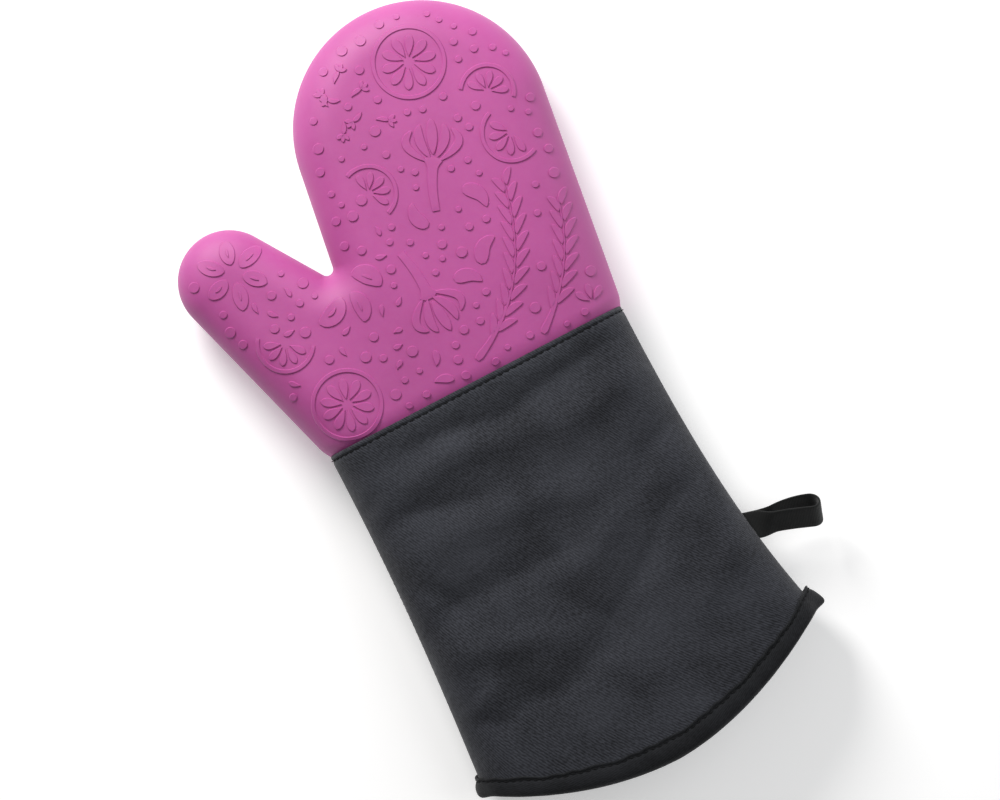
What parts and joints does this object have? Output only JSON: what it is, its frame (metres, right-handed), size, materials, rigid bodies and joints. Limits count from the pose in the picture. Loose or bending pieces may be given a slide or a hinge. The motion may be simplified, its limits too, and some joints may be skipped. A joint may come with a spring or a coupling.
{
  "type": "heat resistant glove",
  "caption": "Oven mitt with a hollow silicone hand and separate thumb, a quilted lining, a long padded fabric cuff with a bound, bowed hem, and a hanging loop in its side seam.",
  "frame": {"origin": "centre of the glove's bounding box, on the surface it lies on", "axes": "+X across the hand away from the thumb, +Y from the cuff's mouth to the fingertips, +Z from the palm to the back of the hand"},
  "size_m": [0.2144, 0.361, 0.04],
  "materials": {
    "silicone": "matt moulded silicone",
    "twill": "charcoal cotton twill",
    "tape": "black woven tape",
    "batting": "white felted wadding",
    "lining": "grey quilted cotton",
    "thread": "spun polyester thread"
  },
  "bodies": {
    "mitt": {"silicone_shell": "silicone", "hand_batting_back": "batting", "hand_batting_palm": "batting", "hand_lining_back": "lining", "hand_lining_palm": "lining", "cuff_fabric_back": "twill", "cuff_fabric_palm": "twill", "cuff_batting_back": "batting", "cuff_batting_palm": "batting", "cuff_lining_back": "lining", "cuff_lining_palm": "lining", "hem_binding": "tape", "wrist_stitching": "thread", "hem_stitching": "thread", "thumb_side_seam": "thread", "loop_side_seam": "thread"},
    "loop": {"hanging_loop": "tape"}
  },
  "joints": [
    {"name": "loop_swing", "type": "hinge", "parent": "mitt", "child": "loop", "pos_m": [0.07566, -0.10453, 0.0168], "axis": [0.2079, 0.9781, 0], "range_deg": [-80, 80]}
  ]
}
